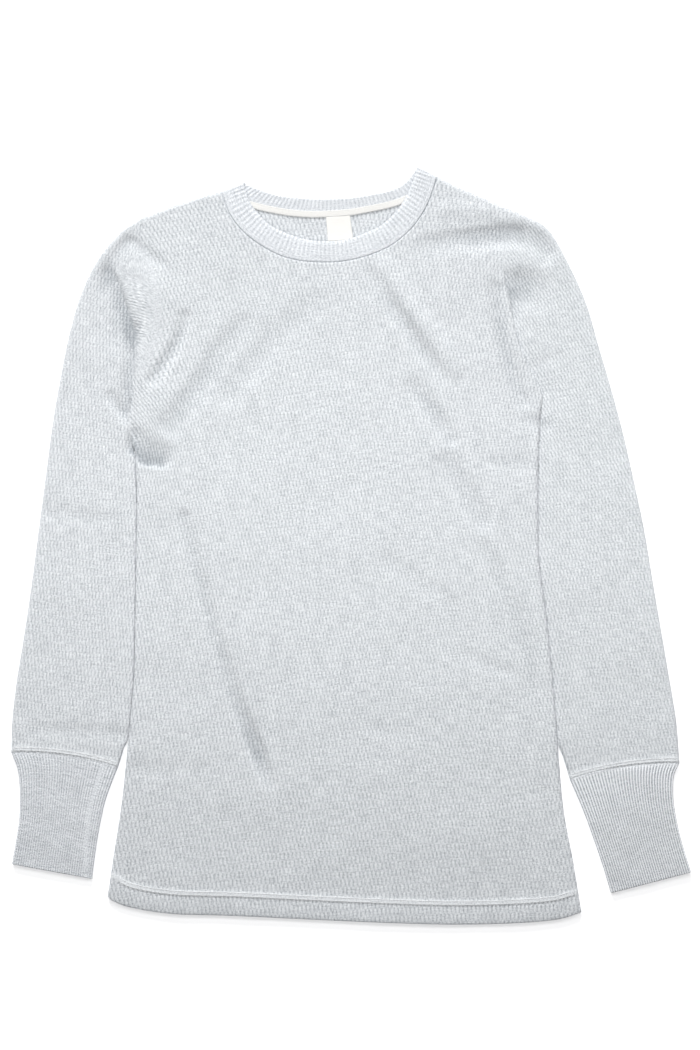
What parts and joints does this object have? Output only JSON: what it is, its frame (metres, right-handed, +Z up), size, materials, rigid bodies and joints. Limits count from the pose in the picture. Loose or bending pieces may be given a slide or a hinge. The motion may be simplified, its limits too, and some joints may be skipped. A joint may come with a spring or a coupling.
{
  "type": "thermal top",
  "caption": "Long-sleeved waffle-knit thermal top with a rib collar and long rib cuffs, laid flat with its front up.",
  "frame": {"origin": "under the middle of the whole laid-out top, on the surface it lies on", "axes": "+X to the right as the top is seen with its front up, +Y from the hem towards the neck, +Z up off the surface"},
  "size_m": [0.6465, 0.7211, 0.0073],
  "materials": {
    "front_knit": "heather grey waffle knit, matt",
    "back_knit": "heather grey waffle knit, matt",
    "sleeve_left_knit": "heather grey waffle knit, matt",
    "sleeve_right_knit": "heather grey waffle knit, matt",
    "cuff_left_rib": "heather grey rib knit, matt",
    "cuff_right_rib": "heather grey rib knit, matt",
    "collar_rib": "heather grey rib knit, matt",
    "neck_tape_weave": "cream twill tape, matt",
    "label_weave": "cream satin label, bare"
  },
  "bodies": {
    "root": {"front": "front_knit", "back": "back_knit", "sleeve_left": "sleeve_left_knit", "sleeve_right": "sleeve_right_knit", "cuff_left": "cuff_left_rib", "cuff_right": "cuff_right_rib", "collar": "collar_rib", "neck_tape": "neck_tape_weave", "label": "label_weave"}
  },
  "joints": []
}
